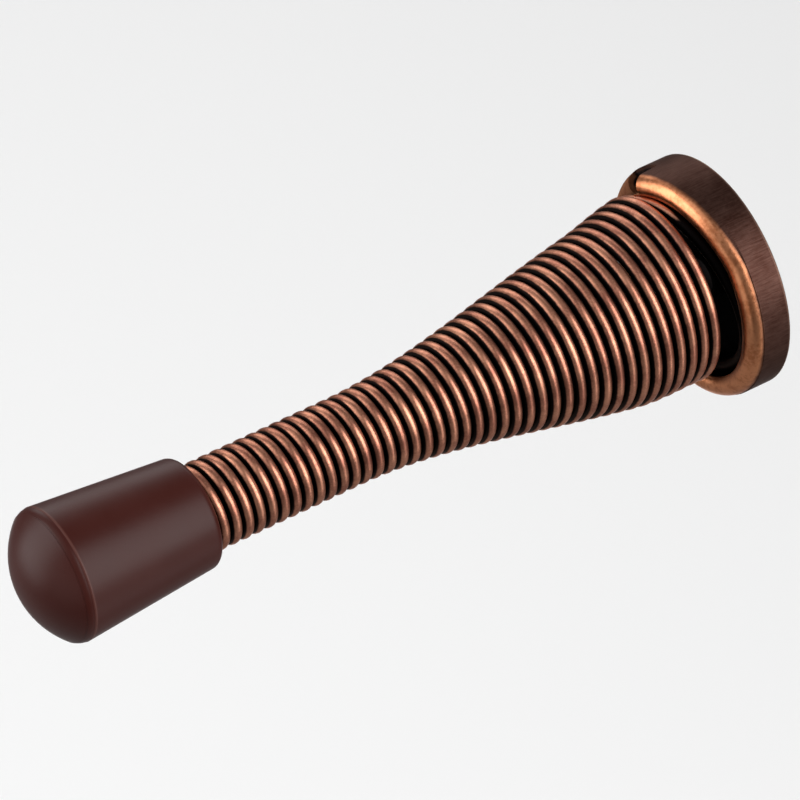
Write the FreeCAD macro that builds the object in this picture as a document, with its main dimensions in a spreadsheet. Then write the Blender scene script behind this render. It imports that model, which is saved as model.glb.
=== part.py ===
import FreeCAD, Part
import enum
import math
import os
import Sketcher

# Spring door stop: a drawn base cup for the wall, a flared close-wound spring and a moulded rubber tip.
# Millimetres and degrees. The origin is the middle of the cup's back, where the screw goes through it.
# The wall is the plane Y = 0, +Z is up, and the stop reaches out from the wall along -Y.
# Each sub-part is drawn along its own Z axis and then laid along -Y by its Placement.

SIZES = {
    # whole stop
    "stop_length": 79.2,
    # base cup, drawn from one sheet
    "base_diameter": 24.0,
    "base_wall_height": 3.1,
    "base_back_edge": 0.2,
    "sheet_thickness": 0.7,
    "rim_shoulder": 0.08,
    "rim_radius": 1.28,
    "lip_turn": 125.0,
    "screw_hole": 4.2,
    "collar_height": 2.0,
    "collar_wall": 0.6,
    # ramp and notch of the rim, where the spring is screwed in
    "ramp_start": 45.0,
    "ramp_sweep": 76.0,
    "ramp_rise": 1.5,
    "ramp_steps": 8,
    "ramp_root": 0.3,
    "ramp_inset": 0.03,
    "notch_sweep": 23.0,
    "notch_margin": 1.0,
    # spring, wound from round wire
    "wire_diameter": 1.25,
    "winding_gap": 0.08,
    "neck_diameter": 8.84,
    "neck_length": 16.7,
    "flare_diameter": 19.66,
    "flare_base_slope": 0.05,
    "flare_lift": 1.4,
    "lean_offset": 0.65,
    "lean_length": 8.0,
    "lean_direction": 138.8,
    "lean_turns": 0.12,
    "hook_turns": 0.45,
    "gather_turns": 0.3,
    "rise_turns": 0.5,
    "hook_clearance": 0.25,
    "lip_clearance": 0.35,
    "hook_lift": 0.1,
    "seat_clearance": 0.03,
    "facets_per_turn": 14,
    "wire_sides": 8,
    # rubber tip, pushed over the neck of the spring
    "tip_length": 18.8,
    "tip_grip": 8.0,
    "bore_clearance": 0.06,
    "mouth_wall": 1.16,
    "mouth_edge": 0.8,
    "mouth_edge_share": 0.7,
    "side_taper": 4.82,
    "dome_height": 3.75,
    "dome_edge": 1.19,
}

LAID_ALONG_MINUS_Y = FreeCAD.Rotation(FreeCAD.Vector(1, 0, 0), 90)
SHEET_NAME = "sizes"
FLARE_SAMPLES = 400


def make_sheet(doc):
    """Write the driving sizes into a spreadsheet, one aliased cell each."""
    sheet = doc.addObject("Spreadsheet::Sheet", SHEET_NAME)
    for row, (alias, value) in enumerate(SIZES.items(), start=1):
        sheet.set(f"A{row}", alias)
        sheet.set(f"B{row}", str(value))
        sheet.setAlias(f"B{row}", alias)
    doc.recompute()
    return sheet


class At(enum.IntEnum):
    """Points of a stretch that a constraint can hold."""

    START = 1
    END = 2
    CENTRE = 3


class HalfSection:
    """A sketch of half a turned section: X is the radius and Y runs along the axis."""

    def __init__(self, body, name, angle_cell=None):
        self.sketch = body.newObject("Sketcher::SketchObject", name)
        plane = next(f for f in body.Origin.OriginFeatures if f.Role == "XZ_Plane")
        self.sketch.AttachmentSupport = [(plane, "")]
        self.sketch.MapMode = "FlatFace"
        if angle_cell:
            about_axis = FreeCAD.Rotation(FreeCAD.Vector(0, 1, 0), 1)
            self.sketch.AttachmentOffset = FreeCAD.Placement(FreeCAD.Vector(0, 0, 0), about_axis)
            self.sketch.setExpression("AttachmentOffset.Rotation.Angle", angle_cell)

    def line(self, start, end):
        """Add a straight stretch and return its number."""
        return self.sketch.addGeometry(Part.LineSegment(FreeCAD.Vector(*start), FreeCAD.Vector(*end)), False)

    def arc(self, centre, radius, first_angle, last_angle):
        """Add a round stretch, counter-clockwise between two angles in degrees, and return its number."""
        circle = Part.Circle(FreeCAD.Vector(*centre), FreeCAD.Vector(0, 0, 1), radius)
        ends = (math.radians(first_angle), math.radians(last_angle))
        return self.sketch.addGeometry(Part.ArcOfCircle(circle, *ends), False)

    def tie(self, kind, *references):
        """Add a constraint that has no size."""
        self.sketch.addConstraint(Sketcher.Constraint(kind, *references))

    def size(self, kind, *references, value, cell):
        """Add a constraint with a size and bind it to an expression on the sheet."""
        number = self.sketch.addConstraint(Sketcher.Constraint(kind, *references, value))
        self.sketch.setExpression(f"Constraints[{number}]", cell)


class Axis(enum.IntEnum):
    """Numbers of a sketch's own axes; the first one starts at the origin."""

    ACROSS = -1
    UP = -2


AT_ORIGIN = (Axis.ACROSS, At.START)


def turn_section(body, section, name):
    """Turn a half section about its axis into the body's solid."""
    turned = body.newObject("PartDesign::Revolution", name)
    turned.Profile = section.sketch
    turned.ReferenceAxis = (section.sketch, ["V_Axis"])
    turned.Angle = 360
    section.sketch.Visibility = False
    return turned


def cut_rim(body, sheet):
    """Take the level rim off the wall along the ramp and the notch."""
    section = HalfSection(body, "rim_cut_section", "sizes.ramp_start")
    margin = sheet.notch_margin
    low = sheet.base_wall_height
    high = low + sheet.rim_shoulder + sheet.rim_radius + margin
    far = sheet.base_diameter / 2 + margin
    near = far - 2 * margin - sheet.rim_shoulder - 2 * sheet.rim_radius
    bottom = section.line((near, low), (far, low))
    outside = section.line((far, low), (far, high))
    top = section.line((far, high), (near, high))
    inside = section.line((near, high), (near, low))
    for stretch, following in ((bottom, outside), (outside, top), (top, inside), (inside, bottom)):
        section.tie("Coincident", stretch, At.END, following, At.START)
    for level, upright in ((bottom, outside), (top, inside)):
        section.tie("Horizontal", level)
        section.tie("Vertical", upright)
    crest_cell = "sizes.base_wall_height + sizes.rim_shoulder + sizes.rim_radius"
    width_cell = "2 * sizes.notch_margin + sizes.rim_shoulder + 2 * sizes.rim_radius"
    far_cell = "sizes.base_diameter / 2 + sizes.notch_margin"
    section.size("DistanceX", *AT_ORIGIN, bottom, At.END, value=far, cell=far_cell)
    section.size("DistanceX", bottom, At.START, bottom, At.END, value=far - near, cell=width_cell)
    section.size("DistanceY", *AT_ORIGIN, bottom, At.END, value=low, cell="sizes.base_wall_height")
    section.size("DistanceY", *AT_ORIGIN, top, At.END, value=high, cell=crest_cell + " + sizes.notch_margin")
    cut = body.newObject("PartDesign::Groove", "rim_cut")
    cut.Profile = section.sketch
    cut.ReferenceAxis = (section.sketch, ["V_Axis"])
    cut.setExpression("Angle", "sizes.ramp_sweep + sizes.notch_sweep")
    section.sketch.Visibility = False
    return cut


def ramp_section(body, sheet, step):
    """Section of the rolled rim at one step of the ramp, a little inside the level rim's own section."""
    along = f"sizes.ramp_sweep * {step} / sizes.ramp_steps"
    section = HalfSection(body, f"rim_ramp_section_{step}", f"sizes.ramp_start + {along}")
    inset = sheet.ramp_inset
    lip_radius = sheet.sheet_thickness / 2 - inset
    rim = sheet.rim_radius - inset
    bend = rim - 2 * lip_radius
    turn = sheet.lip_turn
    rise = sheet.ramp_rise * step / sheet.ramp_steps
    rim_centre = (sheet.base_diameter / 2 - sheet.rim_shoulder - sheet.rim_radius,
                  sheet.base_wall_height + sheet.rim_shoulder + rise)
    root = sheet.base_wall_height - sheet.ramp_root
    outer = rim_centre[0] + rim
    inner = rim_centre[0] + bend
    rim_along = (math.cos(math.radians(turn)), math.sin(math.radians(turn)))
    lip_centre = tuple(c + (bend + lip_radius) * a for c, a in zip(rim_centre, rim_along))
    lip_outside = tuple(c + rim * a for c, a in zip(rim_centre, rim_along))

    foot = section.line((inner, root), (outer, root))
    leg = section.line((outer, root), (outer, rim_centre[1]))
    roll = section.arc(rim_centre, rim, 0, turn)
    lip = section.arc(lip_centre, lip_radius, turn, turn + 180)
    roll_inside = section.arc(rim_centre, bend, 0, turn)
    leg_inside = section.line((inner, rim_centre[1]), (inner, root))
    spoke = section.line(rim_centre, lip_outside)
    section.sketch.setConstruction(spoke, True)

    section.tie("Coincident", foot, At.END, leg, At.START)
    section.tie("Tangent", leg, At.END, roll, At.START)
    section.tie("Tangent", roll, At.END, lip, At.START)
    section.tie("Coincident", lip, At.END, roll_inside, At.END)
    section.tie("Coincident", roll_inside, At.START, leg_inside, At.START)
    section.tie("Coincident", leg_inside, At.END, foot, At.START)
    section.tie("Coincident", roll, At.CENTRE, roll_inside, At.CENTRE)
    section.tie("Coincident", spoke, At.START, roll, At.CENTRE)
    section.tie("Coincident", spoke, At.END, roll, At.END)
    section.tie("PointOnObject", lip, At.END, spoke)
    section.tie("Horizontal", foot)
    section.tie("Vertical", leg)
    section.tie("Vertical", leg_inside)
    section.tie("Horizontal", roll_inside, At.CENTRE, roll_inside, At.START)

    middle_cell = "sizes.base_diameter / 2 - sizes.rim_shoulder - sizes.rim_radius"
    root_cell = "sizes.base_wall_height - sizes.ramp_root"
    bend_cell = "sizes.rim_radius - sizes.sheet_thickness + sizes.ramp_inset"
    rise_cell = f"sizes.ramp_rise * {step} / sizes.ramp_steps"
    height_cell = f"sizes.base_wall_height + sizes.rim_shoulder + {rise_cell}"
    section.size("DistanceX", *AT_ORIGIN, roll, At.CENTRE, value=rim_centre[0], cell=middle_cell)
    section.size("DistanceY", *AT_ORIGIN, roll, At.CENTRE, value=rim_centre[1], cell=height_cell)
    section.size("DistanceY", *AT_ORIGIN, leg, At.START, value=root, cell=root_cell)
    section.size("Radius", roll, value=rim, cell="sizes.rim_radius - sizes.ramp_inset")
    section.size("Radius", roll_inside, value=bend, cell=bend_cell)
    section.size("Angle", spoke, value=math.radians(turn), cell="sizes.lip_turn")
    section.sketch.Visibility = False
    return section.sketch


def raise_rim(body, sheet):
    """Bring the rolled rim back along a rising ramp that ends in the air beside the notch."""
    sketches = [ramp_section(body, sheet, step) for step in range(int(sheet.ramp_steps) + 1)]
    ramp = body.newObject("PartDesign::AdditiveLoft", "rim_ramp")
    ramp.Profile = sketches[0]
    ramp.Sections = sketches[1:]
    ramp.Ruled = True
    return ramp


def make_base_cup(doc, sheet):
    """Base cup: a flat back with a collared screw hole, a short wall and a rim rolled inwards into a lip."""
    body = doc.addObject("PartDesign::Body", "base_cup")
    body.Label = "base_cup"
    section = HalfSection(body, "base_cup_section")

    outer = sheet.base_diameter / 2
    hole = sheet.screw_hole / 2
    edge = sheet.base_back_edge
    thick = sheet.sheet_thickness
    wall_top = sheet.base_wall_height
    shoulder = sheet.rim_shoulder
    rim = sheet.rim_radius
    turn = sheet.lip_turn
    rim_centre = (outer - shoulder - rim, wall_top + shoulder)
    rim_along = (math.cos(math.radians(turn)), math.sin(math.radians(turn)))
    lip_centre = tuple(c + (rim - thick / 2) * a for c, a in zip(rim_centre, rim_along))
    lip_outside = tuple(c + rim * a for c, a in zip(rim_centre, rim_along))
    inside = outer - shoulder - thick
    collar = hole + sheet.collar_wall
    collar_top = sheet.collar_height

    back = section.line((hole, 0), (outer - edge, 0))
    corner = section.arc((outer - edge, edge), edge, -90, 0)
    wall = section.line((outer, edge), (outer, wall_top))
    step = section.line((outer, wall_top), (outer - shoulder, wall_top + shoulder))
    roll = section.arc(rim_centre, rim, 0, turn)
    lip = section.arc(lip_centre, thick / 2, turn, turn + 180)
    roll_inside = section.arc(rim_centre, rim - thick, 0, turn)
    wall_inside = section.line((inside, wall_top + shoulder), (inside, thick))
    floor = section.line((inside, thick), (collar, thick))
    collar_side = section.line((collar, thick), (collar, collar_top))
    collar_edge = section.line((collar, collar_top), (hole, collar_top))
    bore = section.line((hole, collar_top), (hole, 0))
    spoke = section.line(rim_centre, lip_outside)
    section.sketch.setConstruction(spoke, True)

    section.tie("Tangent", back, At.END, corner, At.START)
    section.tie("Tangent", corner, At.END, wall, At.START)
    section.tie("Coincident", wall, At.END, step, At.START)
    section.tie("Coincident", step, At.END, roll, At.START)
    section.tie("Tangent", roll, At.END, lip, At.START)
    section.tie("Coincident", lip, At.END, roll_inside, At.END)
    section.tie("Coincident", roll_inside, At.START, wall_inside, At.START)
    section.tie("Coincident", wall_inside, At.END, floor, At.START)
    section.tie("Coincident", floor, At.END, collar_side, At.START)
    section.tie("Coincident", collar_side, At.END, collar_edge, At.START)
    section.tie("Coincident", collar_edge, At.END, bore, At.START)
    section.tie("Coincident", bore, At.END, back, At.START)
    section.tie("Coincident", roll, At.CENTRE, roll_inside, At.CENTRE)
    section.tie("Coincident", spoke, At.START, roll, At.CENTRE)
    section.tie("Coincident", spoke, At.END, roll, At.END)
    section.tie("PointOnObject", lip, At.END, spoke)
    section.tie("Horizontal", back)
    section.tie("Vertical", wall)
    section.tie("Vertical", wall_inside)
    section.tie("Horizontal", floor)
    section.tie("Vertical", collar_side)
    section.tie("Horizontal", collar_edge)
    section.tie("Vertical", bore)
    section.tie("Horizontal", roll, At.CENTRE, roll, At.START)
    section.tie("Horizontal", roll_inside, At.CENTRE, roll_inside, At.START)

    section.size("DistanceX", *AT_ORIGIN, back, At.START, value=hole, cell="sizes.screw_hole / 2")
    section.tie("PointOnObject", back, At.START, Axis.ACROSS)
    section.size("DistanceX", *AT_ORIGIN, wall, At.END, value=outer, cell="sizes.base_diameter / 2")
    section.size("DistanceY", *AT_ORIGIN, wall, At.END, value=wall_top, cell="sizes.base_wall_height")
    section.size("Radius", corner, value=edge, cell="sizes.base_back_edge")
    section.size("DistanceX", step, At.END, step, At.START, value=shoulder, cell="sizes.rim_shoulder")
    section.size("DistanceY", step, At.START, step, At.END, value=shoulder, cell="sizes.rim_shoulder")
    section.size("Radius", roll, value=rim, cell="sizes.rim_radius")
    section.size("Radius", roll_inside, value=rim - thick, cell="sizes.rim_radius - sizes.sheet_thickness")
    section.size("Angle", spoke, value=math.radians(turn), cell="sizes.lip_turn")
    section.size("DistanceY", *AT_ORIGIN, floor, At.END, value=thick, cell="sizes.sheet_thickness")
    section.size("DistanceY", *AT_ORIGIN, bore, At.START, value=collar_top, cell="sizes.collar_height")
    section.size("DistanceX", bore, At.START, floor, At.END, value=collar - hole, cell="sizes.collar_wall")

    turn_section(body, section, "base_cup_turned")
    cut_rim(body, sheet)
    raise_rim(body, sheet)
    body.Placement = FreeCAD.Placement(FreeCAD.Vector(0, 0, 0), LAID_ALONG_MINUS_Y)
    return body


def make_bumper_tip(doc, sheet):
    """Rubber tip: a tapered plug with a blind bore for the spring, a rounded mouth and a low dome."""
    body = doc.addObject("PartDesign::Body", "bumper_tip")
    body.Label = "bumper_tip"
    section = HalfSection(body, "bumper_tip_section")

    bore = sheet.neck_diameter / 2 + sheet.bore_clearance
    grip = sheet.tip_grip
    length = sheet.tip_length
    taper = math.radians(sheet.side_taper)
    mouth_edge = min(sheet.mouth_edge, sheet.mouth_edge_share * sheet.mouth_wall)
    mouth = bore + sheet.mouth_wall
    edge_centre = (mouth - mouth_edge * math.cos(taper), mouth_edge)
    side_start = (mouth, mouth_edge * (1 - math.sin(taper)))
    crease_height = length - sheet.dome_height
    crease = (mouth + (crease_height - side_start[1]) * math.tan(taper), crease_height)
    nose_edge = sheet.dome_edge
    nose_centre = (crease[0] - nose_edge, crease_height)
    rise = sheet.dome_height
    crown = (rise ** 2 + nose_centre[0] ** 2 - nose_edge ** 2) / (2 * (rise - nose_edge))
    crown_angle = math.degrees(math.atan2(nose_centre[1] - (length - crown), nose_centre[0]))

    bore_wall = section.line((bore, 0), (bore, grip))
    bore_end = section.line((bore, grip), (0, grip))
    middle = section.line((0, grip), (0, length))
    dome = section.arc((0, length - crown), crown, crown_angle, 90)
    nose = section.arc(nose_centre, nose_edge, 0, crown_angle)
    side = section.line(side_start, crease)
    mouth_round = section.arc(edge_centre, mouth_edge, -90, -sheet.side_taper)
    mouth_face = section.line((edge_centre[0], 0), (bore, 0))

    section.tie("Coincident", bore_wall, At.END, bore_end, At.START)
    section.tie("Coincident", bore_end, At.END, middle, At.START)
    section.tie("Coincident", middle, At.END, dome, At.END)
    section.tie("Tangent", dome, At.START, nose, At.END)
    section.tie("Coincident", nose, At.START, side, At.END)
    section.tie("Tangent", side, At.START, mouth_round, At.END)
    section.tie("Tangent", mouth_round, At.START, mouth_face, At.START)
    section.tie("Coincident", mouth_face, At.END, bore_wall, At.START)
    section.tie("Vertical", bore_wall)
    section.tie("Horizontal", bore_end)
    section.tie("PointOnObject", middle, At.START, Axis.UP)
    section.tie("PointOnObject", middle, At.END, Axis.UP)
    section.tie("PointOnObject", dome, At.CENTRE, Axis.UP)
    section.tie("Horizontal", nose, At.CENTRE, nose, At.START)
    section.tie("Horizontal", mouth_face)
    section.tie("PointOnObject", mouth_face, At.END, Axis.ACROSS)

    bore_cell = "sizes.neck_diameter / 2 + sizes.bore_clearance"
    edge_cell = "min(sizes.mouth_edge; sizes.mouth_edge_share * sizes.mouth_wall)"
    section.size("DistanceX", *AT_ORIGIN, bore_wall, At.END, value=bore, cell=bore_cell)
    section.size("DistanceY", *AT_ORIGIN, bore_wall, At.END, value=grip, cell="sizes.tip_grip")
    section.size("DistanceY", *AT_ORIGIN, middle, At.END, value=length, cell="sizes.tip_length")
    wall = mouth - bore
    section.size("DistanceX", bore_wall, At.START, side, At.START, value=wall, cell="sizes.mouth_wall")
    section.size("Radius", mouth_round, value=mouth_edge, cell=edge_cell)
    section.size("Angle", side, value=math.pi / 2 - taper, cell="90 - sizes.side_taper")
    section.size("DistanceY", side, At.END, middle, At.END, value=rise, cell="sizes.dome_height")
    section.size("Radius", nose, value=nose_edge, cell="sizes.dome_edge")

    turn_section(body, section, "bumper_tip_turned")
    body.Placement = FreeCAD.Placement(FreeCAD.Vector(0, 0, 0), LAID_ALONG_MINUS_Y)
    body.setExpression("Placement.Base.y", "-(sizes.stop_length - sizes.tip_length)")
    return body


def ease(share):
    """Run from 0 to 1 with a level start and finish."""
    share = min(max(share, 0.0), 1.0)
    return share * share * (3 - 2 * share)


class SpringPath:
    """Middle line of the spring's wire, from the hooked end in the base cup to the cut end in the tip."""

    def __init__(self, sheet):
        wire = sheet.wire_diameter / 2
        rim_middle = sheet.base_diameter / 2 - sheet.rim_shoulder - sheet.rim_radius
        lip_inside = rim_middle + sheet.rim_radius * math.cos(math.radians(sheet.lip_turn))
        rim_crest = sheet.base_wall_height + sheet.rim_shoulder + sheet.rim_radius
        mouth = sheet.stop_length - sheet.tip_length
        cup_inside = sheet.base_diameter / 2 - sheet.rim_shoulder - sheet.sheet_thickness

        self.hook_radius = cup_inside - sheet.hook_clearance - wire
        self.throat_radius = lip_inside - sheet.lip_clearance - wire
        self.flare_radius = sheet.flare_diameter / 2 - wire
        self.neck_radius = sheet.neck_diameter / 2 - wire
        self.hook_height = sheet.collar_height + sheet.hook_lift + wire
        self.flare_start = rim_crest + sheet.flare_lift
        self.flare_end = mouth - sheet.neck_length
        self.wire_end = mouth + sheet.tip_grip - sheet.seat_clearance - wire
        self.base_slope = -sheet.flare_base_slope
        self.lean_offset = sheet.lean_offset
        self.lean_length = sheet.lean_length
        self.lean_turns = sheet.lean_turns
        self.lean_direction = math.radians(sheet.lean_direction)
        self.hook_turns = sheet.hook_turns
        self.gather_turns = sheet.gather_turns
        self.rise_turns = sheet.rise_turns
        self.winding_step = sheet.wire_diameter + sheet.winding_gap
        self.facets = int(sheet.facets_per_turn)

    def coil_radius(self, height):
        """Radius of the winding: a cubic that leaves the base steeply and meets the neck level."""
        span = self.flare_end - self.flare_start
        u = min(max((height - self.flare_start) / span, 0.0), 1.0)
        at_base = (1 + 2 * u) * (1 - u) ** 2
        base_tilt = u * (1 - u) ** 2 * span
        return at_base * self.flare_radius + base_tilt * self.base_slope + (1 - at_base) * self.neck_radius

    def slant(self, height):
        """Length of wire envelope for each millimetre of height."""
        reach = (self.flare_end - self.flare_start) / FLARE_SAMPLES
        fall = (self.coil_radius(height + reach) - self.coil_radius(height - reach)) / (2 * reach)
        return math.hypot(1.0, fall)

    def lean(self, turns, height):
        """Sideways shift of the turns that stand over the notch, lost on the way up and inside the rim."""
        out_of_rim = ease(turns / self.lean_turns + 0.5)
        return self.lean_offset * out_of_rim * (1 - ease((height - self.flare_start) / self.lean_length))

    def place(self, turns, radius, height):
        """Point of the middle line at a number of turns past the start of the close winding."""
        angle = self.lean_direction + 2 * math.pi * turns
        lean = self.lean(turns, height)
        x = radius * math.cos(angle) + lean * math.cos(self.lean_direction)
        y = radius * math.sin(angle) + lean * math.sin(self.lean_direction)
        return FreeCAD.Vector(x, y, height)

    def end_turn(self):
        """Hook under the lip, gathered in to pass it, then raised to the start of the close winding."""
        before = self.hook_turns + self.gather_turns + self.rise_turns
        points = []
        for number in range(round(before * self.facets)):
            turns = number / self.facets
            gathered = ease((turns - self.hook_turns) / self.gather_turns)
            raised = ease((turns - self.hook_turns - self.gather_turns) / self.rise_turns)
            spread = ease(2 * raised - 1)
            radius = self.hook_radius + (self.throat_radius - self.hook_radius) * gathered
            radius += (self.flare_radius - self.throat_radius) * spread
            height = self.hook_height + (self.flare_start - self.hook_height) * raised
            points.append(self.place(turns - before, radius, height))
        return points

    def close_winding(self):
        """Turns laid side by side up the flare and the neck, evenly spaced along the flare's outline."""
        run = self.wire_end - self.flare_start
        slice_height = run / FLARE_SAMPLES
        middles = [self.flare_start + (i + 0.5) * slice_height for i in range(FLARE_SAMPLES)]
        outline = sum(self.slant(height) for height in middles) * slice_height
        count = int(outline / self.winding_step * self.facets)
        height = self.flare_start
        points = []
        for number in range(count + 1):
            points.append(self.place(number / self.facets, self.coil_radius(height), height))
            height += outline / count / self.slant(height)
        return points

    def points(self):
        """Whole middle line."""
        return self.end_turn() + self.close_winding()


def wire_rings(points, radius, sides):
    """Section of the wire at each point, mitred between the straight runs so that every side stays flat."""
    runs = [(after - before).normalize() for before, after in zip(points, points[1:])]
    mitres = [runs[0]] + [(a + b).normalize() for a, b in zip(runs, runs[1:])] + [runs[-1]]
    outwards = FreeCAD.Vector(points[0].x, points[0].y, 0)
    across = runs[0].cross(outwards).normalize()
    outwards = across.cross(runs[0]).normalize()
    ring = []
    for side in range(sides):
        angle = 2 * math.pi * (side + 0.5) / sides
        ring.append(points[0] + outwards * (radius * math.cos(angle)) + across * (radius * math.sin(angle)))
    rings = [ring]
    for run, mitre, point in zip(runs, mitres[1:], points[1:]):
        ring = [corner + run * ((point - corner).dot(mitre) / run.dot(mitre)) for corner in ring]
        rings.append(ring)
    return rings


def closed_face(corners):
    """Flat face inside a ring of corners."""
    return Part.Face(Part.makePolygon(corners + [corners[0]]))


def make_coil_spring(doc, sheet):
    """Spring: one wire, right-hand and close wound, straight at the neck and flared towards the base."""
    sides = int(sheet.wire_sides)
    rings = wire_rings(SpringPath(sheet).points(), sheet.wire_diameter / 2, sides)
    faces = [closed_face(rings[0][::-1]), closed_face(rings[-1])]
    for near, far in zip(rings, rings[1:]):
        for side in range(sides):
            following = (side + 1) % sides
            faces.append(closed_face([near[side], near[following], far[following], far[side]]))
    spring = doc.addObject("Part::Feature", "coil_spring")
    spring.Label = "coil_spring"
    spring.Shape = Part.makeSolid(Part.makeShell(faces))
    spring.Placement = FreeCAD.Placement(FreeCAD.Vector(0, 0, 0), LAID_ALONG_MINUS_Y)
    return spring


def check_document(doc, sub_parts):
    """Stop if anything in the document failed, or if a sub-part isn't a sound solid."""
    for item in doc.Objects:
        if "Invalid" in item.State or "Error" in item.State:
            raise RuntimeError(f"{item.Label} failed: {item.State}")
    for part in sub_parts:
        if part.Shape.isNull() or not part.Shape.isValid() or part.Shape.Volume <= 0:
            raise RuntimeError(f"{part.Label} has no sound solid")


def main():
    """Build the stop and write each sub-part to its own file."""
    doc = FreeCAD.newDocument("spring_door_stop")
    sheet = make_sheet(doc)
    sub_parts = [make_base_cup(doc, sheet), make_coil_spring(doc, sheet), make_bumper_tip(doc, sheet)]
    doc.recompute()
    check_document(doc, sub_parts)
    os.makedirs("parts", exist_ok=True)
    for part in sub_parts:
        part.Shape.exportStep(os.path.join("parts", f"{part.Label}.step"))
        print(part.Label, "volume", round(part.Shape.Volume, 2), "box", part.Shape.BoundBox)


main()
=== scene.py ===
"""Looks of a spring door stop: copper spring and base cup, rubber tip, studio and camera.

Metres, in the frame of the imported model: the wall is the plane Y = 0, +Z is up, and the stop
reaches out along -Y. Distances from the wall are called heights here, as on the bench with the
base cup standing flat.
"""
from __future__ import annotations

import logging
import math
from dataclasses import dataclass
from enum import Enum
from typing import Any, Sequence

import bpy
from mathutils import Matrix, Vector


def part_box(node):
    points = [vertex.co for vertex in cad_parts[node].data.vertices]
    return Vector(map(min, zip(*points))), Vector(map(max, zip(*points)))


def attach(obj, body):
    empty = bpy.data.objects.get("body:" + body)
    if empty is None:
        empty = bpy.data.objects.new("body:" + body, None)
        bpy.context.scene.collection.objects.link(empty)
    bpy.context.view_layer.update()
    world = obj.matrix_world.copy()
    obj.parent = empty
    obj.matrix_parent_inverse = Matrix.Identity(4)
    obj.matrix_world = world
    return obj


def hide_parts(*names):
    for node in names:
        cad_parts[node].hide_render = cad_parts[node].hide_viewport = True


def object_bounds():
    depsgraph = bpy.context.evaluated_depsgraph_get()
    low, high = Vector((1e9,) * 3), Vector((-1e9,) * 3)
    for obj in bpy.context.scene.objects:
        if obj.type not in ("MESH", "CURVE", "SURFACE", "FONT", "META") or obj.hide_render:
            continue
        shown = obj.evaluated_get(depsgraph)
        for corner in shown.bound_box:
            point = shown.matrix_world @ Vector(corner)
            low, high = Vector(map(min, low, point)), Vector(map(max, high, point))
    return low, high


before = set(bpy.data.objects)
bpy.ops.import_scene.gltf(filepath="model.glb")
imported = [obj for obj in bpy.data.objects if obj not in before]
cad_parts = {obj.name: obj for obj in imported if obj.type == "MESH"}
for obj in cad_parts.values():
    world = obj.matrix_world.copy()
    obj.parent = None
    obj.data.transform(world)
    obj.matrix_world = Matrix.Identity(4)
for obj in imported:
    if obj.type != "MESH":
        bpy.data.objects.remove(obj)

Point2 = tuple[float, float]
Span = tuple[float, float]
Triple = tuple[float, float, float]
Colour = tuple[float, float, float]
Tint = tuple[float, float, float, float]

LOG = logging.getLogger("spring_door_stop")
MM = 0.001
ROOT_BODY = "root"
CAD_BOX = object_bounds()

AXIS_POINT = (0.0, 0.0, 0.0)
AXIS = (0.0, 1.0, 0.0)
SAME_POINT = 1e-7
MERGE_DISTANCE = 0.002 * MM
SMOOTH_ANGLE = math.radians(28.0)

UNSCALED: Triple = (1.0, 1.0, 1.0)
NOISE_MIDDLE = 0.5
NOISE_ROUGHNESS = 0.55
COARSE_DETAIL = 2.0
FINE_DETAIL = 3.0
MIX_FACTOR, MIX_FIRST, MIX_SECOND, MIX_RESULT = 0, 6, 7, 2


class Shade:
    """A shader value for Python expressions; each operator adds its Math node."""

    def __init__(self, kit: NodeKit, socket: bpy.types.NodeSocket) -> None:
        """Wrap a socket of a node that belongs to a kit."""
        self.kit = kit
        self.socket = socket

    def __add__(self, other: Operand) -> Shade:
        """self + other"""
        return self.kit.math("ADD", self, other)

    def __radd__(self, other: Operand) -> Shade:
        """other + self"""
        return self.kit.math("ADD", other, self)

    def __sub__(self, other: Operand) -> Shade:
        """self - other"""
        return self.kit.math("SUBTRACT", self, other)

    def __rsub__(self, other: Operand) -> Shade:
        """other - self"""
        return self.kit.math("SUBTRACT", other, self)

    def __mul__(self, other: Operand) -> Shade:
        """self * other"""
        return self.kit.math("MULTIPLY", self, other)

    def __rmul__(self, other: Operand) -> Shade:
        """other * self"""
        return self.kit.math("MULTIPLY", other, self)

    def __truediv__(self, other: Operand) -> Shade:
        """self / other"""
        return self.kit.math("DIVIDE", self, other)

    def __rtruediv__(self, other: Operand) -> Shade:
        """other / self"""
        return self.kit.math("DIVIDE", other, self)

    def __pow__(self, other: Operand) -> Shade:
        """self ** other"""
        return self.kit.math("POWER", self, other)

    def __rpow__(self, other: Operand) -> Shade:
        """other ** self"""
        return self.kit.math("POWER", other, self)

    def step(self, low: float, high: float) -> Shade:
        """Smooth step from 0 at low to 1 at high."""
        return self.map_range("SMOOTHSTEP", low, high)

    def share(self, low: float, high: float) -> Shade:
        """Straight run from 0 at low to 1 at high, level outside them."""
        return self.map_range("LINEAR", low, high)

    def below(self, limit: float) -> Shade:
        """1 below the limit and 0 above it."""
        return self.kit.math("LESS_THAN", self, limit)

    def uneven(self, amount: float) -> Shade:
        """A noise made to swing about 0, by an amount."""
        return (self - NOISE_MIDDLE) * amount

    def map_range(self, kind: str, low: float, high: float) -> Shade:
        """Map a range of the value to 0 and 1.

        Args:
            kind: interpolation of the Map Range node.
            low: value that gives 0.
            high: value that gives 1.

        Returns:
            The mapped value.
        """
        inputs = {"Value": self, "From Min": low, "From Max": high}
        node = self.kit.node("ShaderNodeMapRange", {"interpolation_type": kind}, inputs)
        return Shade(self.kit, node.outputs["Result"])


Operand = Shade | float | int


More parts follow.
